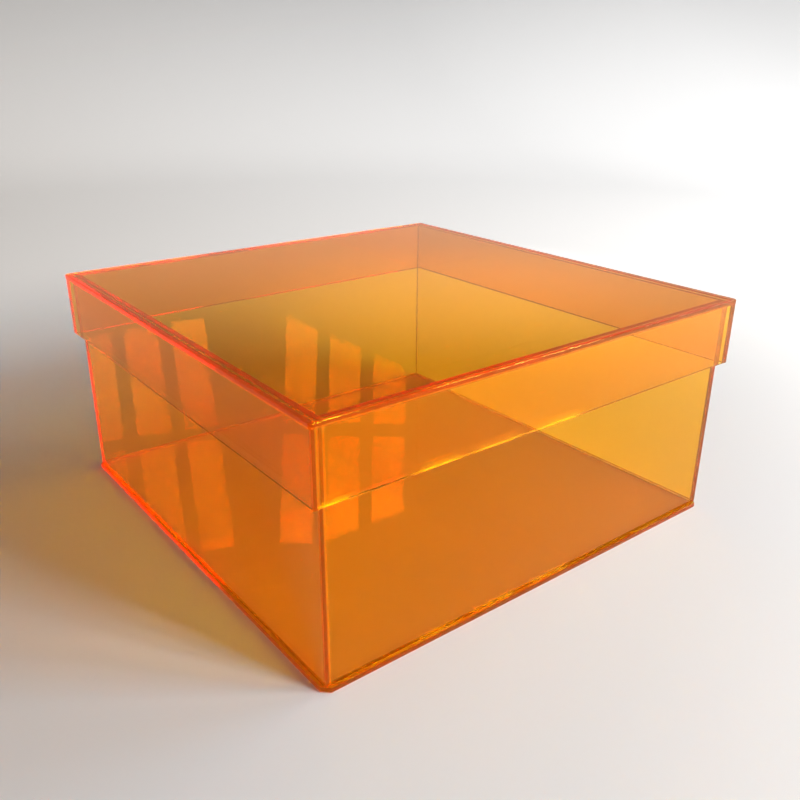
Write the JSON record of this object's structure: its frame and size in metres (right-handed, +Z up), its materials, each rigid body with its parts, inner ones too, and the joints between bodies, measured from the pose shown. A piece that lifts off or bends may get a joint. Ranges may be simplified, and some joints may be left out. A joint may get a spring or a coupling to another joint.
{
  "type": "storage box with lid",
  "caption": "Square see-through storage box of cemented orange acrylic sheet, with a shallow lift-off lid whose skirts telescope over the walls.",
  "frame": {"origin": "on the table, below the middle of the box", "axes": "+Z up through the lid, +X to the right along the front, -Y towards the front"},
  "size_m": [0.3, 0.3, 0.14],
  "materials": {
    "orange_acrylic": "polished",
    "clear_cement": "gloss"
  },
  "bodies": {
    "box": {"base_panel": "orange_acrylic", "front_wall": "orange_acrylic", "back_wall": "orange_acrylic", "left_wall": "orange_acrylic", "right_wall": "orange_acrylic", "floor_cement_beads": "clear_cement", "corner_cement_beads": "clear_cement"},
    "lid": {"lid_top_panel": "orange_acrylic", "lid_front_skirt": "orange_acrylic", "lid_back_skirt": "orange_acrylic", "lid_left_skirt": "orange_acrylic", "lid_right_skirt": "orange_acrylic", "lid_top_cement_beads": "clear_cement", "lid_corner_cement_beads": "clear_cement"}
  },
  "joints": [
    {"name": "lid_lift", "type": "slide", "parent": "box", "child": "lid", "axis": [0, 0, 1], "range_m": [0, 0.2]}
  ]
}
